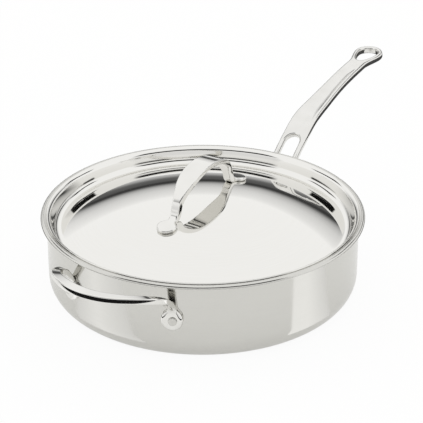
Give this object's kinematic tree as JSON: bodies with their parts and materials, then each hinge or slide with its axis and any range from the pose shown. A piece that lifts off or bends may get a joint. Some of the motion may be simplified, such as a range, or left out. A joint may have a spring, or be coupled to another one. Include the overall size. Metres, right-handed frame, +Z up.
{
  "type": "deep frying pan with lid",
  "caption": "Deep clad-steel frying pan with straight walls and a flared lip, a long riveted handle with a hanging eye, a riveted helper loop and a recessed domed lid with an arched handle.",
  "frame": {"origin": "middle of the flat underside of the pan", "axes": "+Z up along the pan's axis, +X along the long handle, +Y to the left of it"},
  "size_m": [0.5432, 0.2962, 0.1254],
  "materials": {
    "satin_steel": "stainless steel, finely brushed round the pan",
    "polished_steel": "stainless steel, mirror polished",
    "aluminium_core": "bare rolled sheet, bonded between the steel layers"
  },
  "bodies": {
    "pan": {"pan_outer_skin": "satin_steel", "pan_aluminium_core": "aluminium_core", "pan_inner_liner": "satin_steel", "long_handle": "polished_steel", "helper_handle": "polished_steel", "long_handle_rivet_left": "satin_steel", "long_handle_rivet_right": "satin_steel", "helper_handle_rivet_left": "satin_steel", "helper_handle_rivet_right": "satin_steel"},
    "lid": {"lid_shell": "polished_steel", "lid_handle": "polished_steel"}
  },
  "joints": [
    {"name": "lid_lift", "type": "slide", "parent": "pan", "child": "lid", "axis": [0, 0, 1], "range_m": [0, 0.12]}
  ]
}
